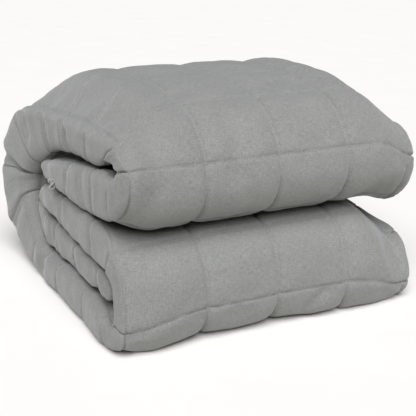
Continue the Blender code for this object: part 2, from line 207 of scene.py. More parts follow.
FIRST_SEAM_HEADING = 72  # where the first seam lies: the upper roll's heading there
MIDDLE_X = -0.0078  # the squares' middle lies this far off the middle of the box
MIDDLE_Y = 0.0360  # and the section is drawn this far off it
SETTLE = 0.0030  # the weight flattens the lowest crowns by this much
FOOT_DRAW = 0.004  # the lower roll's visible corner is drawn back by this much
FAR_TAPER = 0.26  # how much less the far end's last squares stand out
RIM_FULLNESS = 0.38  # 1 rounds the visible end as half an ellipse, and less makes it fuller
FAR_RIM_FULLNESS = 0.6  # the same at the far end
FAR_RIM = 0.018  # the far end stands out this far past its end seam
HEM_END = 0.985  # the rounding of a hem stops at this part of the half thickness
STEP = 0.001  # spacing of the samples along the strip's middle line
SMOOTHING = 25  # samples over which one section blends into the next

# Where each of these fades in, from one distance off the middle of the strip to another:
SLIPPING = (0.100, HALF_WIDTH + 0.01)
TAPERING = (0.11, HALF_WIDTH + 0.01)
SINKING = (0.70 * HALF_WIDTH, HALF_WIDTH + 0.02)
DRAWN_FOOT = (0.5 * HALF_WIDTH, HALF_WIDTH + 0.03)
REACHING = (0.5 * HALF_WIDTH, HALF_WIDTH)
# and from one height or depth in the bundle to another.
AT_THE_FRONT = (0.05, 0.19)
ABOVE_THE_FOOT = (0.03, 0.14)
OFF_THE_FLOOR = (0.03, 0.10)

# ------------------------ the fine cloth's own mesh

# Where its lines lie before they are halved: parts of a square, close beside the seams.
ACROSS_SQUARE = (0.0, 0.05, 0.12, 0.21, 0.31, 0.42, 0.53, 0.64, 0.74, 0.82, 0.89, 0.95)
SEEN_SQUARE = (0.0, 0.045, 0.11, 0.20, 0.30, 0.40, 0.50, 0.60, 0.70, 0.80, 0.89, 0.955)
HIDDEN_SQUARE = (0.0, 0.12, 0.34, 0.56, 0.78, 0.92)
RIM_ANGLES = (16, 34, 51, 66, 78, 86)
HEM_ANGLES = (25, 48, 68, 84)
STEEPEST_ROW = math.radians(13)  # most that the strip turns between two rows
HEM_CLEAR = 1.2  # no other row lies this close to a hem, in half thicknesses
SEEN_FROM = -1.8  # the squares of the outer face that show run from here
SEEN_TO = 13.3
RIM_LENGTH = 0.036  # a rim's length over its rounding, from the end seam to its edge
RIM_SIDE = 0.35  # and the share of it that runs outwards, the rest running over the edge

# Soft lumps in the cloth, layer by layer: their size each way in metres, their share and seed.
Lumps = namedtuple("Lumps", "size_u size_v share seed")
GATHERS_ROUND_ROLLS = (Lumps(0.0095, 0.03, 1.0, 11), Lumps(0.005, 0.02, 0.5, 12))
GATHERS_ALONG_ROLLS = (Lumps(0.0095, 0.03, 1.0, 13), Lumps(0.005, 0.02, 0.5, 14))
UNEVEN_FILL = (Lumps(0.045, 0.06, 1.0, 21), Lumps(0.018, 0.022, 0.35, 22))
RUMPLES = (Lumps(0.019, 0.028, 1.0, 31), Lumps(0.009, 0.016, 0.5, 32))
LATTICE = 256

# Creases pressed into the cloth: a line from one place to another, in squares along the strip
# and metres across its outer face. Past the visible end seam the metres run on round the rim.
Crease = namedtuple("Crease", "name square x to_square to_x wide deep")
CREASE_RISE, CREASE_START = 4, 0.6  # how fast it deepens along itself, and from what share
RIDGE_HEIGHT, RIDGE_OFF, RIDGE_WIDE = 0.5, 1.8, 1.2  # of the low ridge, in depths and widths
CREASES = (
    Crease("upper roll, second square", 0.11, -0.068, -0.6, -0.04, 0.01, 0.0028),
    Crease("upper roll, third square", 0.05, 0.06, -0.54, 0.072, 0.009, 0.0022),
    Crease("lower roll, third square", 11.95, 0.07, 11.67, 0.04, 0.009, 0.0045),
    Crease("upper roll, above its seam", 0.66, -0.062, 0.06, -0.053, 0.014, 0.0024),
    Crease("end of the top, by its third seam", 2.95, -0.212, 2.72, -0.262, 0.01, 0.0034),
    Crease("end of the top, by its fourth seam", 3.9, -0.215, 3.8, -0.262, 0.008, 0.002),
    Crease("end of the spine, pocket", 4.75, -0.214, 4.7, -0.245, 0.014, 0.0058),
    Crease("end of the spine, upper", 5.86, -0.205, 5.84, -0.262, 0.011, 0.0045),
    Crease("end of the spine, lower", 7.12, -0.21, 7.08, -0.262, 0.01, 0.0035),
    Crease("end of the bottom, by the fold", 8.35, -0.225, 8.45, -0.268, 0.01, 0.0045),
    Crease("end of the under layer", -2.3, -0.215, -2.45, -0.262, 0.008, 0.0025),
)


def unit(degrees):
    """The direction at this angle in the section, as (y, z)."""
    return np.array([math.cos(math.radians(degrees)), math.sin(math.radians(degrees))])


def arc_between(here, there, count):
    """The middle line between two sections, as a cubic that comes close to a circle's arc."""
    t = np.linspace(0, 1, count)[:, None]
    start, end = np.array([here.y, here.z]), np.array([there.y, there.z])
    turn = math.radians(here.heading - there.heading)
    reach = np.linalg.norm(end - start) / math.cos(turn / 4) ** 2
    return (
        (2 * t**3 - 3 * t**2 + 1) * start
        + (t**3 - 2 * t**2 + t) * reach * unit(here.heading)
        + (3 * t**2 - 2 * t**3) * end
        + (t**3 - t**2) * reach * unit(there.heading)
    )


def blended(values):
    """Evenly spaced values with their corners taken off."""
    kernel = np.hanning(SMOOTHING + 2)[1:-1]
    kernel /= kernel.sum()
    ends = SMOOTHING // 2
    inner = np.convolve(values, kernel, "valid")
    return np.concatenate([values[:ends], inner, values[-ends:]])


def arc_length(y, z):
    return np.concatenate([[0], np.cumsum(np.hypot(np.diff(y), np.diff(z)))])


def middle_line(count=61):
    """Samples of the folded strip's middle line: y, z, half thickness and rim, a STEP apart."""
    pairs = list(zip(SECTIONS, SECTIONS[1:]))
    share = np.linspace(0, 1, count)
    places = np.concatenate([arc_between(here, there, count)[:-1] for here, there in pairs])
    lofts = np.concatenate([(a.loft + share * (b.loft - a.loft))[:-1] for a, b in pairs])
    rims = np.concatenate([(a.rim + share * (b.rim - a.rim))[:-1] for a, b in pairs])
    along = arc_length(places[:, 0], places[:, 1])
    samples = np.linspace(0, along[-1], int(round(along[-1] / STEP)) + 1)
    y, z = (np.interp(samples, along, column) for column in places.T)
    lofts, rims = (blended(np.interp(samples, along, column)) for column in (lofts, rims))
    return samples, y, z, lofts, rims


class Strip:
    """The folded strip's section, read at any distance along its middle line."""

    def __init__(self):
        self.along, self.y, self.z, self.loft, self.rim = middle_line()
        slope = np.gradient(self.y), np.gradient(self.z)
        size = np.hypot(*slope)
        self.out_y, self.out_z = -slope[1] / size, slope[0] / size
        self.heading = np.unwrap(np.arctan2(slope[1], slope[0]))
        self.length = self.along[-1]
        self.outer = arc_length(self.y + self.out_y * self.loft, self.z + self.out_z * self.loft)
        self.first_seam = np.interp(math.radians(-FIRST_SEAM_HEADING), -self.heading, self.outer)

    def read(self, values, distance):
        return np.interp(distance, self.along, values)

    def squares(self, along):
        """How many squares of the outer face lie between the first seam and here."""
        return (self.read(self.outer, along) - self.first_seam) / CELL_ALONG


def row_places(strip):
    """Distances along the strip of the cloth's rows, closer where it shows."""
    squares = strip.squares(strip.along)
    parts = []
    for square in range(math.floor(squares[0]), math.ceil(squares[-1])):
        seen = SEEN_FROM < square + 0.5 < SEEN_TO
        parts += [square + part for part in (SEEN_SQUARE if seen else HIDDEN_SQUARE)]
    rows = list(np.interp([p for p in parts if squares[0] < p < squares[-1]], squares, strip.along))
    for end, way in ((0, 1), (strip.length, -1)):
        loft = strip.read(strip.loft, end)
        rows = [row for row in rows if abs(row - end) > HEM_CLEAR * loft]
        rounding = [1 - math.sin(math.radians(angle)) for angle in (0, *HEM_ANGLES, 90)]
        rows += [end + way * loft * part for part in rounding]
    rows.sort()
    filled = [rows[0]]
    for row in rows[1:]:
        turned = abs(strip.read(strip.heading, row) - strip.read(strip.heading, filled[-1]))
        pieces = max(1, math.ceil(turned / STEEPEST_ROW))
        filled += list(np.linspace(filled[-1], row, pieces + 1)[1:])
    return np.array(filled)


def column_places():
    """The cloth's columns: x at the seams and squares, and the angle of each round the rims."""
    squares = [
        -HALF_WIDTH + (square + part) * CELL
        for square in range(CELLS_ACROSS)
        for part in ACROSS_SQUARE
    ]
    left, right = [-HALF_WIDTH] * len(RIM_ANGLES), [HALF_WIDTH] * (len(RIM_ANGLES) + 1)
    angle = [-a for a in reversed(RIM_ANGLES)] + [0] * (len(squares) + 1) + list(RIM_ANGLES)
    return np.array(left + squares + right), np.radians(angle)


def arch(parts):
    """0 at a seam, 1 in the middle of a square, steep beside the seam."""
    return np.sqrt(np.abs(np.sin(np.pi * parts)))


def across_squares(x):
    """The squares' crowns across the strip, with shallower seams at the two ends."""
    crown = arch((x + HALF_WIDTH) / CELL)
    return np.where(np.abs(x) > HALF_WIDTH - CELL / 2, np.maximum(crown, 1 - END_SEAM_SHARE), crown)


def hem_rounding(strip, along):
    """How full the strip is near its two hems, 1 away from them."""
    full = np.ones_like(along)
    for end in (0, strip.length):
        part = np.clip(1 - np.abs(along - end) / strip.read(strip.loft, end), 0, HEM_END)
        full *= np.sqrt(1 - part**2)
    return full


def smooth_step(value, low, high):
    t = np.clip((value - low) / (high - low), 0, 1)
    return t * t * (3 - 2 * t)


def slipped(strip, along, x):
    """Distances along the strip once the cloth has slipped."""
    fine = np.arange(SLIPS[0].square - 1, SLIPS[-1].square + 1, SLIP_STEP)
    squares, *moved = zip(*SLIPS)
    moves = [blended(blended(np.interp(fine, squares, column))) for column in moved]
    visible, far = (np.interp(strip.squares(along), fine, column) for column in moves)
    return along + smooth_step(-x, *SLIPPING) * visible + smooth_step(x, *SLIPPING) * far


def settled(x, y, z):
    """The bundle's own weight: flat underneath, sunk at its ends, its foot drawn back."""
    fine = np.arange(0, LEVELS[-1].middle, STEP)
    middle, left, right = zip(*LEVELS)
    for side, heights in ((-1, left), (1, right)):
        sunk = blended(np.interp(fine, middle, heights))
        share = smooth_step(side * x, *SINKING)
        z = z + share * (np.interp(z, fine, sunk) - z)
    low = smooth_step(-y, *AT_THE_FRONT) * (1 - smooth_step(z, *ABOVE_THE_FOOT))
    y = y + FOOT_DRAW * smooth_step(-x, *DRAWN_FOOT) * low
    z = np.maximum(z - SETTLE, 0)
    return x - MIDDLE_X, y - MIDDLE_Y, z


def share_of(spot, squares, x):
    """1 at the middle of a spot on the cloth, falling softly to 0 at its edge."""
    off = np.hypot((squares - spot.square) / spot.squares_wide, (x - spot.x) / spot.wide)
    return (1 + np.cos(np.pi * np.minimum(off, 1))) / 2


def bulged(bulges, squares, x):
    """How much fuller the cloth stands here than the rest of the quilting."""
    height = np.zeros_like(x)
    for bulge in bulges:
        height += bulge.height * share_of(bulge, squares, x)
    return height


def folded(strip, x, angle, along, outside, seam_depth):
    """The place of each point of the strip: across it, along it and on its outer or inner face."""
    place = slipped(strip, along, x)
    loft = strip.read(strip.loft, place)
    full = hem_rounding(strip, along)
    squares = strip.squares(along)
    places, *shares = zip(*QUILTING)
    along_rolls, round_rolls = (np.interp(squares, places, column) for column in shares)
    crown = 1 - along_rolls / round_rolls * (1 - arch(squares))
    depth = np.where(outside, seam_depth, INNER_SEAM_DEPTH) * round_rolls
    depth *= np.clip(loft / FULL_LOFT, SHALLOWEST, 1)
    raised = loft - depth * (1 - np.sqrt(across_squares(x) * crown))
    lifted = smooth_step(strip.read(strip.z, place), *OFF_THE_FLOOR)
    taper = FAR_TAPER * lifted * smooth_step(x, *TAPERING)
    across = x
    outer = raised * (1 - taper) + bulged(OUTER_BULGES, squares, x)
    inner = raised + bulged(INNER_BULGES, squares, x)
    fullness = np.where(angle < 0, RIM_FULLNESS, FAR_RIM_FULLNESS)
    out = np.where(outside, outer, -inner) * full * np.cos(angle) ** fullness
    rim = np.where(angle < 0, strip.read(strip.rim, place), FAR_RIM)
    reach = smooth_step(-x, *REACHING) * np.interp(squares, *zip(*REACHES))
    x = x - reach + rim * np.sin(angle) * np.sqrt(full)
    past_its_end = np.maximum(place - strip.length, 0)
    y = strip.read(strip.y, place) - past_its_end + out * strip.read(strip.out_y, place)
    z = strip.read(strip.z, place) + out * strip.read(strip.out_z, place)
    drawn = sum(
        np.outer(spot.by, np.where(outside, 0, share_of(spot, squares, across))) for spot in DRAWN
    )
    return settled(x + drawn[0], y + drawn[1], z + drawn[2])


# ------------------------ small helpers


def linear(hex_colour):
    """A linear colour from an sRGB hex value."""
    parts = [int(hex_colour[i : i + 2], 16) / 255 for i in (1, 3, 5)]
    return tuple(c / 12.92 if c <= 0.04045 else ((c + 0.055) / 1.055) ** 2.4 for c in parts)


def read_attributes(mesh, *names):
    """The values that the points have of each of these."""
    values = np.zeros((len(names), len(mesh.vertices)), np.float32)
    for name, row in zip(names, values):
        mesh.attributes[name].data.foreach_get("value", row)
    return values.astype(float)


def write_attribute(mesh, name, values):
    made = mesh.attributes.new(name, "FLOAT", "POINT")
    made.data.foreach_set("value", np.asarray(values, np.float32))


def vectors_of(mesh, kind):
    """Every point's "co" or "normal", a row each."""
    flat = np.zeros(len(mesh.vertices) * 3, np.float32)
    mesh.vertices.foreach_get(kind, flat)
    return flat.reshape(-1, 3).astype(float)


def set_places(mesh, places):
    mesh.vertices.foreach_set("co", np.asarray(places, np.float32).ravel())
    mesh.update()


def mesh_from(shape, name):
    """The mesh that was put together in a bmesh, which ends here."""
    mesh = bpy.data.meshes.new(name)
    shape.to_mesh(mesh)
    shape.free()
    return mesh


def link(name, mesh):
    made = bpy.data.objects.new(name, mesh)
    bpy.context.scene.collection.objects.link(made)
    return made


def evaluated_mesh(piece):
    """The piece's mesh with its modifiers applied, as a plain mesh."""
    graph = bpy.context.evaluated_depsgraph_get()
    return bpy.data.meshes.new_from_object(piece.evaluated_get(graph))


def apply_modifiers(piece):
    made = evaluated_mesh(piece)
    made.name = piece.data.name
    piece.modifiers.clear()
    piece.data = made


def noise_on(u, v, lumps):
    """Smooth noise from -1 to 1 over a sheet, with lumps of this size."""
    grid = np.random.default_rng(lumps.seed).uniform(-1, 1, (LATTICE + 1, LATTICE + 1))
    a, b = u / lumps.size_u, v / lumps.size_v
    i, j = np.floor(a).astype(int), np.floor(b).astype(int)
    s, t = a - i, b - j
    i, j = i % LATTICE, j % LATTICE
    s, t = s * s * (3 - 2 * s), t * t * (3 - 2 * t)
    low = grid[i, j] * (1 - s) + grid[i + 1, j] * s
    high = grid[i, j + 1] * (1 - s) + grid[i + 1, j + 1] * s
    return low * (1 - t) + high * t


def lumpy(u, v, layers):
    return sum(lumps.share * noise_on(u, v, lumps) for lumps in layers)


def set_inputs(tree, node, inputs):
    """Sets a node's inputs, found by name or as i and a number, to a value or from a socket."""
    for name, value in inputs.items():
        numbered = name[0] == "i" and name[1:].isdigit()
        socket = node.inputs[int(name[1:]) if numbered else name.replace("_", " ")]
        if isinstance(value, bpy.types.NodeSocket):
            tree.links.new(value, socket)
        else:
            socket.default_value = value


def add_node(tree, kind, settings=None, output=0, **inputs):
    """One output of a new node with these settings and inputs."""
    node = tree.nodes.new(kind)
    for name, value in (settings or {}).items():
        setattr(node, name, value)
    set_inputs(tree, node, inputs)
    return node.outputs[output]


def noise_node(tree, place, scale, detail=2.0, **inputs):
    inputs |= {"Vector": place, "Scale": scale, "Detail": detail}
    return add_node(tree, "ShaderNodeTexNoise", **inputs)


def two_tones(tree, share, dark, light):
    """A colour between two linear ones, by this share."""
    ends = {"i6": (*dark, 1), "i7": (*light, 1)}
    return add_node(tree, "ShaderNodeMix", {"data_type": "RGBA"}, 2, i0=share, **ends)


def amount(name, description, value):
    return FloatProperty(name=name, description=description, default=value)


def metres(name, description, value):
    return FloatProperty(name=name, description=description, default=value, unit="LENGTH")


def tint(name, hex_colour):
    given = {"description": "Linear colour", "default": linear(hex_colour)}
    return FloatVectorProperty(name=name, subtype="COLOR", size=3, **given)


def new_material(name):
    made = bpy.data.materials.new(name)
    made.use_nodes = True
    return made, made.node_tree


def object_places(tree):
    return add_node(tree, "ShaderNodeTexCoord", output="Object")


def finish_surface(tree, colour, roughness, **inputs):
    """Gives the surface its colour and roughness, and whatever else is named."""
    inputs |= {"Base_Color": colour, "Roughness": roughness}
    set_inputs(tree, tree.nodes["Principled BSDF"], inputs)


# ------------------------ the cloth


def closed_slab(columns, rows):
    """A flat closed slab of two grids, one on the other, with its corners' grid numbers."""
    mesh = bmesh.new()
    bmesh.ops.create_grid(mesh, x_segments=columns - 1, y_segments=rows - 1, size=1)
    bmesh.ops.solidify(mesh, geom=mesh.faces[:], thickness=1)
    bmesh.ops.recalc_face_normals(mesh, faces=mesh.faces[:])
    place = np.array([corner.co for corner in mesh.verts])
    column = np.rint((place[:, 0] + 1) / 2 * (columns - 1)).astype(int)
    row = np.rint((place[:, 1] + 1) / 2 * (rows - 1)).astype(int)
    return mesh, column, row, place[:, 2] > place[:, 2].mean()


def cloth_piece(strip, seam_depth):
    """The quilted cloth before it is filled, with its flat measures kept on its points."""
    rows = row_places(strip)
    column_x, column_angle = column_places()
    slab, column, row, outside = closed_slab(len(column_x), len(rows))
    x, angle, along = column_x[column], column_angle[column], rows[row]
    places = np.stack(folded(strip, x, angle, along, outside, seam_depth), 1)
    for corner, place in zip(slab.verts, places):
        corner.co = place
    bmesh.ops.recalc_face_normals(slab, faces=slab.faces[:])
    mesh = mesh_from(slab, "quilted_cloth")
    mesh.shade_smooth()
    over = 1 - np.cos(angle) ** RIM_FULLNESS
    run = RIM_SIDE * np.sin(np.abs(angle)) + (1 - RIM_SIDE) * over
    write_attribute(mesh, "across", x + np.sign(angle) * RIM_LENGTH * run)
    write_attribute(mesh, "squares", strip.squares(along))
    write_attribute(mesh, "outer", outside)
    write_attribute(mesh, "sheet_length", strip.read(strip.outer, along))
    return link("quilted_cloth", mesh)


def seam_distances(across, squares):
    """Metres to the nearest seam along the strip, and to the nearest one across it."""
    inside = np.clip(across, -HALF_WIDTH, HALF_WIDTH)
    to_long = np.abs((inside + HALF_WIDTH) / CELL - np.rint((inside + HALF_WIDTH) / CELL)) * CELL
    to_long += np.abs(across - inside)
    to_cross = np.abs(squares - np.rint(squares)) * CELL_ALONG
    return to_long, to_cross


# The cloth of the simulation. The squares of the outer face that show swell, apart from those
# on the underside and the rims; ON_A_SEAM is how near a point lies to count as sewn.
CLOTH_RULES = {
    "quality": 5,
    "mass": 0.3,
    "tension_stiffness": 15,
    "compression_stiffness": 15,
    "shear_stiffness": 5,
    "use_pressure": True,
    "vertex_group_mass": "held",
}
SWELLS_FROM = (SEEN_FROM + 0.2, SEEN_FROM + 0.9)
SWELLS_TO = (SEEN_TO - 0.9, SEEN_TO - 0.3)
UNDERSIDE_FROM, UNDERSIDE_TO = (6.8, 7.5), (10.2, 10.8)
STILL_RIM = (0.205, 0.225)
ON_A_SEAM = 1e-4


def filled_by_cloth_simulation(piece, settings):
    """Fills the squares: the seams are held, the rest swells under pressure, and is capped."""
    mesh = piece.data
    start = vectors_of(mesh, "co")
    across, squares, outer = read_attributes(mesh, "across", "squares", "outer")
    to_long, to_cross = seam_distances(across, squares)
    seen = smooth_step(squares, *SWELLS_FROM) * (1 - smooth_step(squares, *SWELLS_TO))
    under = smooth_step(squares, *UNDERSIDE_FROM) * (1 - smooth_step(squares, *UNDERSIDE_TO))
    free = (outer > 0.5) * seen * (1 - under) * (1 - smooth_step(np.abs(across), *STILL_RIM))
    held = np.where(np.minimum(to_long, to_cross) < ON_A_SEAM, 1.0, 1.0 - free)
    group = piece.vertex_groups.new(name="held")
    for index, weight in enumerate(held):
        group.add([index], float(weight), "REPLACE")
    cloth = piece.modifiers.new("filling", "CLOTH")
    rules = cloth.settings
    for name, value in CLOTH_RULES.items():
        setattr(rules, name, value)
    rules.bending_stiffness = settings.stiffness
    rules.uniform_pressure_force = settings.pressure
    rules.shrink_min = -settings.spare_cloth
    rules.effector_weights.gravity = 0
    cloth.point_cache.frame_start = 1
    cloth.point_cache.frame_end = settings.frames
    for step in range(1, settings.frames + 1):
        bpy.context.scene.frame_set(step)
    swollen = evaluated_mesh(piece)
    moved = vectors_of(swollen, "co") - start
    piece.modifiers.clear()
    piece.vertex_groups.clear()
    bpy.data.meshes.remove(swollen)
    bpy.context.scene.frame_set(1)
    length = np.linalg.norm(moved, axis=1)
    cap = settings.most_move * free
    moved *= (cap * np.tanh(length / np.maximum(cap, 1e-6)) / np.maximum(length, 1e-9))[:, None]
    set_places(mesh, start + moved)


def halved(piece):
    """One subdivision, applied."""
    finer = piece.modifiers.new("finer", "SUBSURF")
    finer.levels = 1
    finer.render_levels = 1
    apply_modifiers(piece)


def round_the_rim(across, outer):
    """Metres across the outer face, run on round the visible rim and over the inner face."""
    return np.where(outer > 0.5, across, -2 * (HALF_WIDTH + RIM_LENGTH) - across)


def crease_depths(across, squares):
    """How deep the pressed creases are here, each a soft valley with a low ridge beside it."""
    depth = np.zeros_like(across)
    for crease in CREASES:
        start = np.array([crease.square * CELL_ALONG, crease.x])
        way = np.array([crease.to_square * CELL_ALONG, crease.to_x]) - start
        point = np.stack([squares * CELL_ALONG, across], 1) - start
        share = point @ way / (way @ way)
        off = (point[:, 0] * way[1] - point[:, 1] * way[0]) / np.linalg.norm(way)
        body = np.clip(np.minimum(share, 1 - share) * CREASE_RISE + CREASE_START, 0, 1)
        valley = np.exp(-((off / crease.wide) ** 2))
        ridge = np.exp(-(((off / crease.wide - RIDGE_OFF) / RIDGE_WIDE) ** 2))
        depth += crease.deep * (valley - RIDGE_HEIGHT * ridge) * body
    return depth


PUCKER_FROM = 0.002  # how far from its seam a gather is at its full height
LUMP_FROM = 0.03  # and a lump of the fill


def pucker_heights(across, squares, settings):
    """Small gathers that run away from each seam and fade within a few millimetres."""
    to_long, to_cross = seam_distances(across, squares)
    length = squares * CELL_ALONG
    gathers = np.zeros_like(across)
    for off, u, v, layers in (
        (to_long, length, across, GATHERS_ROUND_ROLLS),
        (to_cross, across, length, GATHERS_ALONG_ROLLS),
    ):
        fading = np.exp(-off / settings.pucker_reach) * np.minimum(off / PUCKER_FROM, 1)
        gathers += lumpy(u, v, layers) * fading
    return settings.pucker_height * gathers


# The visible end: its seam is pulled in more, and its cloth is rumpled, most where it is tucked
# between the layers, before and after these squares.
END_GROOVE = 0.8
END_SEAM = (HALF_WIDTH - 0.01, HALF_WIDTH - 0.002)
VISIBLE_END = (HALF_WIDTH - 0.005, HALF_WIDTH + 0.012)
TUCKED_TO, TUCKED_FROM = (-3.2, -1.6), (13.6, 15.2)
LEAST_RUMPLED = 0.35


def sewn(piece, settings):
    """Presses in the stitched lines, the gathers beside them, and the creases of the folding."""
    mesh = piece.data
    across, squares, outer = read_attributes(mesh, "across", "squares", "outer")
    to_long, to_cross = seam_distances(across, squares)
    to_seam = np.minimum(to_long, to_cross)
    groove = np.exp(-((to_seam / settings.groove_width) ** 2))
    groove *= 1 + END_GROOVE * smooth_step(np.abs(across), *END_SEAM)
    length, around = squares * CELL_ALONG, round_the_rim(across, outer)
    height = pucker_heights(across, squares, settings) - settings.groove_depth * groove
    soft = lumpy(across, length, UNEVEN_FILL) * np.minimum(to_seam / LUMP_FROM, 1)
    height += settings.unevenness * soft
    tucked = 1 - smooth_step(squares, *TUCKED_TO) + smooth_step(squares, *TUCKED_FROM)
    rumpled = smooth_step(-across, *VISIBLE_END) * (LEAST_RUMPLED + (1 - LEAST_RUMPLED) * tucked)
    height += settings.rumple_height * lumpy(length, around, RUMPLES) * rumpled
    height -= crease_depths(around, squares)
    places = vectors_of(mesh, "co") + vectors_of(mesh, "normal") * height[:, None]
    places[:, 2] = np.maximum(places[:, 2], 0)
    set_places(mesh, places)


def add_flat_map(mesh):
    """The cloth's own flat measures in metres as its UV map, for the weave to follow."""
    across, outer, length = read_attributes(mesh, "across", "outer", "sheet_length")
    around = round_the_rim(across, outer)
    flat = np.stack([around + 1.0, length], 1)
    corner = np.zeros(len(mesh.loops), np.int32)
    mesh.loops.foreach_get("vertex_index", corner)
    made = mesh.uv_layers.new(name="flat_cloth")
    made.data.foreach_set("uv", flat[corner].astype(np.float32).ravel())


# The weave: noise drawn out along each thread and flecks, by the thread, wide faint patches, by
# the metre, and the sums of all these that look darkest and lightest.
THREAD_ALONG, THREAD_ACROSS, FLECKS = 0.16, 0.9, 0.75
PATCHES_A_METRE, PATCH_SHARE = 22.0, 0.35
DARKEST_TONE, LIGHTEST_TONE = 1.22, 2.08


def woven_cotton(settings):
    """Heathered plain-weave cotton, brushed soft: fine crossing threads of two greys, uneven
    slubs along them, dull, with a faint pale bloom at grazing angles."""
    made, tree = new_material("heathered_woven_cotton")
    flat = add_node(tree, "ShaderNodeUVMap", {"uv_map": "flat_cloth"})
    threads = 1.0 / settings.thread_spacing
    long, fine = THREAD_ALONG * threads, THREAD_ACROSS * threads
    weave = noise_node(tree, flat, FLECKS * threads, 3.0, Roughness=0.7)
    for scale in ((long, fine, 1), (fine, long, 1)):
        yarns = noise_node(tree, add_node(tree, "ShaderNodeMapping", Vector=flat, Scale=scale), 1.0)
        weave = add_node(tree, "ShaderNodeMath", {"operation": "ADD"}, i0=weave, i1=yarns)
    patches = noise_node(tree, flat, PATCHES_A_METRE, 3.0)
    tone = add_node(
        tree, "ShaderNodeMath", {"operation": "MULTIPLY_ADD"}, i0=patches, i1=PATCH_SHARE, i2=weave
    )
    share = add_node(
        tree, "ShaderNodeMapRange", Value=tone, From_Min=DARKEST_TONE, From_Max=LIGHTEST_TONE
    )
    colour = two_tones(tree, share, settings.dark_thread, settings.light_thread)
    bump = add_node(
        tree, "ShaderNodeBump", Height=weave, Strength=settings.weave_relief, Distance=0.0012
    )
    finish_surface(
        tree, colour, 0.92, Normal=bump, Specular_IOR_Level=0.25, Sheen_Weight=settings.bloom,
        Sheen_Roughness=0.5,
    )
    return made


class BlanketSettings(bpy.types.PropertyGroup):
    """The quilted cloth"""

    seam_depth: metres("Seam depth", "How far a seam lies below the crowns", 0.0060)
    pressure: amount("Filling", "How hard the fill presses", 2.5)
    spare_cloth: amount("Spare cloth", "How much looser the cloth is than its squares", 0.03)
    stiffness: amount("Stiffness", "Against bending", 0.5)
    most_move: metres("Most swelling", "The furthest that a point may swell", 0.0035)
    frames: IntProperty(name="Frames", description="Length of the filling", default=20)
    groove_depth: metres("Stitch groove", "How deep the stitches pull the cloth", 0.0019)
    groove_width: metres("Groove width", "Half width of that groove", 0.0017)
    pucker_height: metres("Pucker height", "Height of the gathers at a seam", 0.0008)
    pucker_reach: metres("Pucker reach", "How far the gathers run from a seam", 0.009)
    unevenness: metres("Unevenness", "How lumpy the fill lies", 0.0014)
    rumple_height: metres("Rumple height", "Of the crumpled cloth at the visible end", 0.0020)
    thread_spacing: metres("Thread spacing", "Drawn coarse enough to show", 0.0011)
    weave_relief: amount("Weave relief", "Strength of the weave's bump", 0.2)
    bloom: amount("Bloom", "Pale brushed edge", 0.25)
    dark_thread: tint("Dark thread", "#636460")
    light_thread: tint("Light thread", "#80817a")


class WEIGHTEDBLANKET_OT_cloth(bpy.types.Operator):
    """Make the quilted, filled and folded cloth"""

    bl_idname = "weighted_blanket.cloth"
    bl_label = "Quilted cloth"

    def execute(self, context):
        settings = context.scene.blanket_cloth
        strip = Strip()
        piece = cloth_piece(strip, settings.seam_depth)
        filled_by_cloth_simulation(piece, settings)
        halved(piece)
        sewn(piece, settings)
        add_flat_map(piece.data)
        piece.data.shade_smooth()
        piece.data.materials.append(woven_cotton(settings))
        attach(piece, "root")
        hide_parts("blanket")
        return {"FINISHED"}


# ------------------------ the stitches


class StitchSettings(bpy.types.PropertyGroup):
    """The stitches along the seams"""

    length: metres("Stitch", "Length of one stitch", 0.0030)
    pitch: metres("Pitch", "From one stitch to the next", 0.0042)
    thickness: metres("Thread", "Thickness of the thread", 0.0008)


ON_A_CROSS_SEAM = 1e-3  # in squares: as near as this a point lies on a seam along the rolls
STITCHED_RIM = 0.6  # these seams are sewn this share of the way round the rims
THREAD_ABOVE = 0.0002  # the stitches stand this far off the cloth


def seam_lines(cloth):
    """The places along every seam that shows, a hair above the cloth's outer face."""
    mesh = cloth.data
    across, squares, outer = read_attributes(mesh, "across", "squares", "outer")
    places, normals = vectors_of(mesh, "co"), vectors_of(mesh, "normal")
    lines = []
    for number in range(CELLS_ACROSS + 1):
        near = np.abs(across - (number * CELL - HALF_WIDTH)) < ON_A_SEAM
        near &= (squares > SEEN_FROM) & (squares < SEEN_TO)
        lines.append((near, squares))
    for square in range(math.ceil(SEEN_FROM), math.floor(SEEN_TO) + 1):
        near = np.abs(squares - square) < ON_A_CROSS_SEAM
        near &= np.abs(across) < HALF_WIDTH + STITCHED_RIM * RIM_LENGTH
        lines.append((near, across))
    for near, order in lines:
        line = np.nonzero((outer > 0.5) & near)[0]
        line = line[np.argsort(order[line])]
        yield places[line] + THREAD_ABOVE * normals[line]


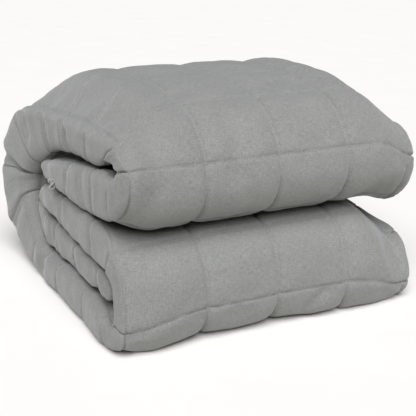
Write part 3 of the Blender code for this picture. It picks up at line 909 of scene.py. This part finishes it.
def stitch_tree(stitch, thread):
    """Geometry nodes that lay one stitch after another along every line of a wire mesh."""
    tree = bpy.data.node_groups.new("stitches_along_seams", "GeometryNodeTree")
    tree.interface.new_socket("Seams", in_out="INPUT", socket_type="NodeSocketGeometry")
    for name in ("Pitch", "Length", "Thickness"):
        tree.interface.new_socket(name, in_out="INPUT", socket_type="NodeSocketFloat")
    tree.interface.new_socket("Stitches", in_out="OUTPUT", socket_type="NodeSocketGeometry")
    given = tree.nodes.new("NodeGroupInput").outputs
    curves = add_node(tree, "GeometryNodeMeshToCurve", Mesh=given["Seams"])
    spaced = add_node(
        tree, "GeometryNodeResampleCurve", {"mode": "LENGTH"}, Curve=curves, Length=given["Pitch"]
    )
    tangent = add_node(tree, "GeometryNodeInputTangent")
    turned = add_node(tree, "FunctionNodeAlignRotationToVector", {"axis": "Z"}, Vector=tangent)
    thick, long = given["Thickness"], given["Length"]
    size = add_node(tree, "ShaderNodeCombineXYZ", X=thick, Y=thick, Z=long)
    shape = add_node(tree, "GeometryNodeObjectInfo", output="Geometry", Object=stitch)
    laid = add_node(
        tree, "GeometryNodeInstanceOnPoints", Points=spaced, Instance=shape, Rotation=turned,
        Scale=size,
    )
    real = add_node(tree, "GeometryNodeRealizeInstances", Geometry=laid)
    done = add_node(tree, "GeometryNodeSetMaterial", Geometry=real, Material=thread)
    tree.links.new(done, tree.nodes.new("NodeGroupOutput").inputs[0])
    return tree


def stitch_shape():
    """One stitch of unit size: a six-sided bead, full in the middle, drawn in at its ends."""
    bead = bmesh.new()
    bmesh.ops.create_uvsphere(bead, u_segments=6, v_segments=4, radius=0.5)
    return link("stitch_shape", mesh_from(bead, "stitch_shape"))


def polyester_thread():
    """Core-spun polyester sewing thread, a little smoother and paler than the cloth."""
    made, tree = new_material("grey_sewing_thread")
    ply = noise_node(tree, object_places(tree), 900.0, 1.0)
    tone = two_tones(tree, ply, linear("#70716c"), linear("#96978f"))
    finish_surface(tree, tone, 0.7, Sheen_Weight=0.1)
    return made


class WEIGHTEDBLANKET_OT_stitches(bpy.types.Operator):
    """Lay the stitches along every seam that shows"""

    bl_idname = "weighted_blanket.stitches"
    bl_label = "Stitches"

    def execute(self, context):
        settings = context.scene.blanket_stitches
        wire = bmesh.new()
        for line in seam_lines(bpy.data.objects["quilted_cloth"]):
            corners = [wire.verts.new(place) for place in line]
            for here, there in zip(corners, corners[1:]):
                wire.edges.new((here, there))
        piece = link("seam_stitches", mesh_from(wire, "seam_stitches"))
        shape = stitch_shape()
        layer = piece.modifiers.new("stitching", "NODES")
        layer.node_group = stitch_tree(shape, polyester_thread())
        for socket in layer.node_group.interface.items_tree:
            if socket.socket_type == "NodeSocketFloat":
                layer[socket.identifier] = getattr(settings, socket.name.lower())
        apply_modifiers(piece)
        bpy.data.objects.remove(shape)
        if not piece.data.polygons:
            raise RuntimeError("no stitches were laid")
        piece.data.shade_smooth()
        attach(piece, "root")
        return {"FINISHED"}


# ------------------------ the tie loop


class TieSettings(bpy.types.PropertyGroup):
    """The small tie loop at the visible end"""

    tape_width: metres("Tape width", "Width of the tape", 0.0038)
    tape_thickness: metres("Tape thickness", "Thickness of the tape", 0.0014)
    points: IntProperty(name="Points", description="Points round the loop", default=96)


LOOP_INSET = 0.0009  # from the solid's box to the tape's middle line
LOOP_APART = 0.45  # how far sideways the two crossing runs lie, as a share of the box
TAPE_SIDES = 10


def loop_line(low, high, count):
    """The tape's middle line inside the solid's box: a figure of eight, crossing itself apart."""
    turn = np.linspace(0, 2 * math.pi, count, endpoint=False)
    low, high = np.array(low), np.array(high)
    reach = (high - low) / 2 - (LOOP_INSET, 0, LOOP_INSET)
    ways = np.stack([-np.sin(2 * turn), LOOP_APART * np.sin(turn), np.cos(turn)], 1)
    return (low + high) / 2 + reach * ways


def ribbon(name, line, width, thickness):
    """A closed tape along a closed line, its width lying along Y, with rounded edges."""
    turns = np.linspace(0, 2 * math.pi, TAPE_SIDES, endpoint=False)
    way = np.roll(line, -1, 0) - np.roll(line, 1, 0)
    way /= np.linalg.norm(way, axis=1)[:, None]
    broad = np.array([0.0, 1.0, 0.0]) - way * way[:, 1:2]
    broad /= np.linalg.norm(broad, axis=1)[:, None]
    thin = np.cross(way, broad)
    tape = bmesh.new()
    rings = []
    for place, across, up in zip(line, broad * width / 2, thin * thickness / 2):
        ring = [place + across * math.cos(turn) + up * math.sin(turn) for turn in turns]
        rings.append([tape.verts.new(corner) for corner in ring])
    for ring, after in zip(rings, rings[1:] + rings[:1]):
        for i, j in zip(range(-1, TAPE_SIDES - 1), range(TAPE_SIDES)):
            tape.faces.new((ring[i], ring[j], after[j], after[i]))
    bmesh.ops.recalc_face_normals(tape, faces=tape.faces[:])
    mesh = mesh_from(tape, name)
    mesh.shade_smooth()
    return link(name, mesh)


def cotton_tape():
    """Twill-woven cotton tape: fine slanting ribs, matte, a little lighter than the cloth."""
    made, tree = new_material("twill_cotton_tape")
    slant = add_node(
        tree, "ShaderNodeMapping", Vector=object_places(tree), Rotation=(0.6, 0.5, 0.0)
    )
    ribs = add_node(
        tree, "ShaderNodeTexWave", output="Fac", Vector=slant, Scale=420.0, Distortion=1.0
    )
    tone = two_tones(tree, ribs, linear("#74756e"), linear("#9c9d96"))
    bump = add_node(tree, "ShaderNodeBump", Height=ribs, Strength=0.5, Distance=0.0003)
    finish_surface(tree, tone, 0.85, Normal=bump, Sheen_Weight=0.15)
    return made


class WEIGHTEDBLANKET_OT_tie_loop(bpy.types.Operator):
    """Make the woven tie loop"""

    bl_idname = "weighted_blanket.tie_loop"
    bl_label = "Tie loop"

    def execute(self, context):
        settings = context.scene.blanket_tie
        low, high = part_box("tie_loop")
        line = loop_line(low, high, settings.points)
        piece = ribbon("woven_tie_loop", line, settings.tape_width, settings.tape_thickness)
        piece.data.materials.append(cotton_tape())
        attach(piece, "root")
        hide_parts("tie_loop")
        return {"FINISHED"}


# ------------------------ the stage


FRAME_PIXELS = 416
SENSOR_WIDTH = 36  # millimetres
FLOOR_SIZE = 30  # from its middle to its edges


class StageSettings(bpy.types.PropertyGroup):
    """Floor, light and camera"""

    azimuth: amount("Azimuth", "Degrees round", -26.8)
    elevation: amount("Elevation", "Degrees up", 17.0)
    focal_pixels: amount("Focal length", "In pixels of a 416 pixel frame", 850.0)
    place: FloatVectorProperty(
        name="Camera", description="Where the camera stands", size=3, unit="LENGTH",
        default=(-0.5192, -1.0766, 0.4642),
    )
    sky: amount("Sky", "Strength of the even light", 0.12)
    key: amount("Key light", "Watts a square metre", 5.55)
    key_azimuth: amount("Key azimuth", "Degrees round", -24.0)
    key_elevation: amount("Key elevation", "Degrees up", 51.0)
    key_softness: amount("Key softness", "Degrees wide", 48.0)


def looking_from(azimuth, elevation):
    """The direction towards a place at these degrees round and up."""
    azimuth, elevation = math.radians(azimuth), math.radians(elevation)
    return Vector((
        math.sin(azimuth) * math.cos(elevation),
        -math.cos(azimuth) * math.cos(elevation),
        math.sin(elevation),
    ))


KEY_COLOUR = (0.985, 0.985, 1.07)


def soft_key(settings):
    """One very broad light from above the front, as from a large bright panel."""
    lamp = bpy.data.lights.new("key_light", "SUN")
    lamp.energy = settings.key
    lamp.angle = math.radians(settings.key_softness)
    lamp.color = KEY_COLOUR
    made = bpy.data.objects.new("key_light", lamp)
    towards = looking_from(settings.key_azimuth, settings.key_elevation)
    made.location = towards
    made.rotation_euler = towards.to_track_quat("Z", "Y").to_euler()
    bpy.context.scene.collection.objects.link(made)


def plain_paper():
    """Matte white studio paper: even, dull, with the faintest mottle."""
    made, tree = new_material("white_studio_paper")
    mottle = noise_node(tree, object_places(tree), 6.0)
    finish_surface(tree, two_tones(tree, mottle, linear("#d3d2c9"), linear("#d8d7ce")), 1.0)
    return made


class WEIGHTEDBLANKET_OT_stage(bpy.types.Operator):
    """Set up the floor, the light and the camera"""

    bl_idname = "weighted_blanket.stage"
    bl_label = "Floor, light and camera"

    def execute(self, context):
        settings = context.scene.blanket_stage
        scene = context.scene
        sheet = bmesh.new()
        bmesh.ops.create_grid(sheet, x_segments=1, y_segments=1, size=FLOOR_SIZE)
        floor = link("floor", mesh_from(sheet, "floor"))
        floor.data.materials.append(plain_paper())
        world = bpy.data.worlds.new("pale_studio")
        world.use_nodes = True
        sky = world.node_tree.nodes["Background"]
        set_inputs(world.node_tree, sky, {"Color": (1, 1, 1, 1), "Strength": settings.sky})
        scene.world = world
        soft_key(settings)
        azimuth = math.radians(settings.azimuth)
        back = looking_from(settings.azimuth, settings.elevation)
        right = Vector((math.cos(azimuth), math.sin(azimuth), 0))
        lens = bpy.data.cameras.new("camera")
        lens.sensor_width = SENSOR_WIDTH
        lens.lens = SENSOR_WIDTH * settings.focal_pixels / FRAME_PIXELS
        camera = bpy.data.objects.new("camera", lens)
        turned = Matrix((right, back.cross(right), back)).transposed()
        camera.matrix_world = Matrix.Translation(settings.place) @ turned.to_4x4()
        scene.collection.objects.link(camera)
        scene.camera = camera
        scene.view_settings.view_transform = "Standard"
        return {"FINISHED"}


class WEIGHTEDBLANKET_PT_panel(bpy.types.Panel):
    """The makers of the blanket's pieces"""

    bl_label = "Weighted blanket"
    bl_space_type = "VIEW_3D"
    bl_region_type = "UI"
    bl_category = "Blanket"

    def draw(self, context):
        for name, _, maker in PIECES:
            box = self.layout.box()
            settings = getattr(context.scene, name)
            for shown in settings.bl_rna.properties.keys():
                if shown not in ("rna_type", "name"):
                    box.prop(settings, shown)
            box.operator(maker.bl_idname)


# Each piece's name among the scene's properties, its settings and its maker.
PIECES = (
    ("blanket_cloth", BlanketSettings, WEIGHTEDBLANKET_OT_cloth),
    ("blanket_stitches", StitchSettings, WEIGHTEDBLANKET_OT_stitches),
    ("blanket_tie", TieSettings, WEIGHTEDBLANKET_OT_tie_loop),
    ("blanket_stage", StageSettings, WEIGHTEDBLANKET_OT_stage),
)
CLASSES = [kind for _, *kinds in PIECES for kind in kinds] + [WEIGHTEDBLANKET_PT_panel]


def register():
    for kind in CLASSES:
        bpy.utils.register_class(kind)
    for name, settings, _ in PIECES:
        setattr(bpy.types.Scene, name, PointerProperty(type=settings))


def unregister():
    for name, *_ in PIECES:
        delattr(bpy.types.Scene, name)
    for kind in reversed(CLASSES):
        bpy.utils.unregister_class(kind)


def main():
    register()
    bpy.ops.weighted_blanket.stage()
    bpy.ops.weighted_blanket.cloth()
    bpy.ops.weighted_blanket.stitches()
    bpy.ops.weighted_blanket.tie_loop()


if __name__ == "__main__":
    main()
